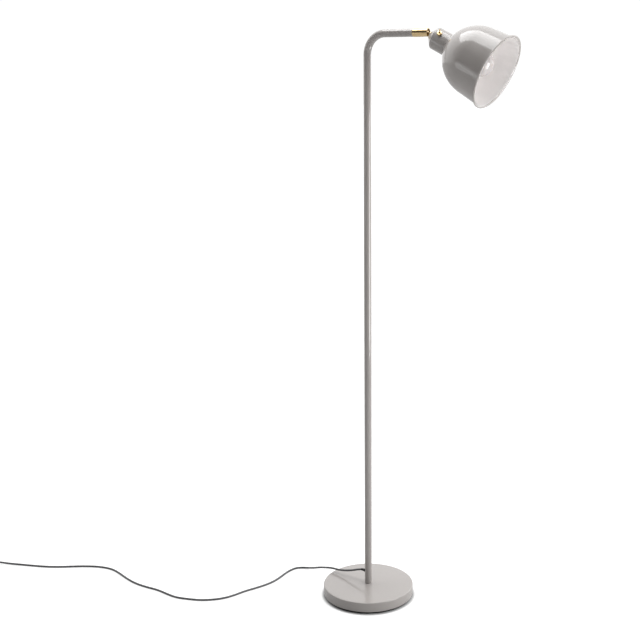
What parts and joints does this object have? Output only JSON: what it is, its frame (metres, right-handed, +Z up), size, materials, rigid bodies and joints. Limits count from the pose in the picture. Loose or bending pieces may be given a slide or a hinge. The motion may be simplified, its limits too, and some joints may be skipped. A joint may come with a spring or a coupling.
{
  "type": "reading floor lamp",
  "caption": "Floor lamp with a weighted round base, thin upright tube bent into a short arm, and a tilting domed shade with a toggle switch.",
  "frame": {"origin": "on the floor under the axis of the upright tube, at the centre of the base's underside", "axes": "+Z up along the upright tube, +X along the level arm towards the head, -X is the side where the cord leaves"},
  "size_m": [1.4826, 0.6688, 1.5072],
  "materials": {
    "grey_paint": "gloss",
    "black_rubber": "matt",
    "iron": "as cast, primed",
    "steel": "zinc plated",
    "brass": "turned and lacquered",
    "holder_plastic": "satin",
    "black_plastic": "satin",
    "cord_jacket": "satin",
    "bulb_cap_metal": "satin",
    "opal_glass": "opal, satin"
  },
  "bodies": {
    "stand": {"base_cover": "grey_paint", "base_weight": "iron", "foot_pad": "black_rubber", "base_stud": "steel", "base_washer": "steel", "base_nut": "steel", "foot_insert": "steel", "lower_tube": "grey_paint", "cord_grommet": "black_rubber", "tube_coupler": "steel", "bent_tube": "grey_paint", "inner_cable": "cord_jacket", "swivel_spigot": "brass", "swivel_nut": "brass", "cord_lead": "cord_jacket", "cord_coil": "cord_jacket", "coil_tie": "black_plastic", "plug_body": "black_plastic", "plug_pins": "brass"},
    "swivel": {"joint_sleeve": "brass", "pivot_pin": "brass", "pivot_washers": "steel"},
    "head": {"joint_tongue": "brass", "stem_nut": "brass", "shade_cup": "grey_paint", "lampholder": "holder_plastic", "screw_shell": "brass", "centre_contact": "brass", "shade_ring": "holder_plastic", "shade": "grey_paint", "bulb_cap": "bulb_cap_metal", "bulb_glass": "opal_glass", "switch_body": "black_plastic", "switch_bushing": "brass", "switch_nut": "brass"},
    "toggle": {"toggle_lever": "brass"}
  },
  "joints": [
    {"name": "head_swivel", "type": "hinge", "parent": "stand", "child": "swivel", "pos_m": [0.13, 0, 1.491], "axis": [1, 0, 0], "range_deg": [-165, 165]},
    {"name": "head_tilt", "type": "hinge", "parent": "swivel", "child": "head", "pos_m": [0.1625, 0, 1.491], "axis": [0, 1, 0], "range_deg": [-26, 64]},
    {"name": "toggle_flick", "type": "hinge", "parent": "head", "child": "toggle", "pos_m": [0.21173, -0.02145, 1.48701], "axis": [0.8988, 0, -0.4384], "range_deg": [0, 26]}
  ]
}
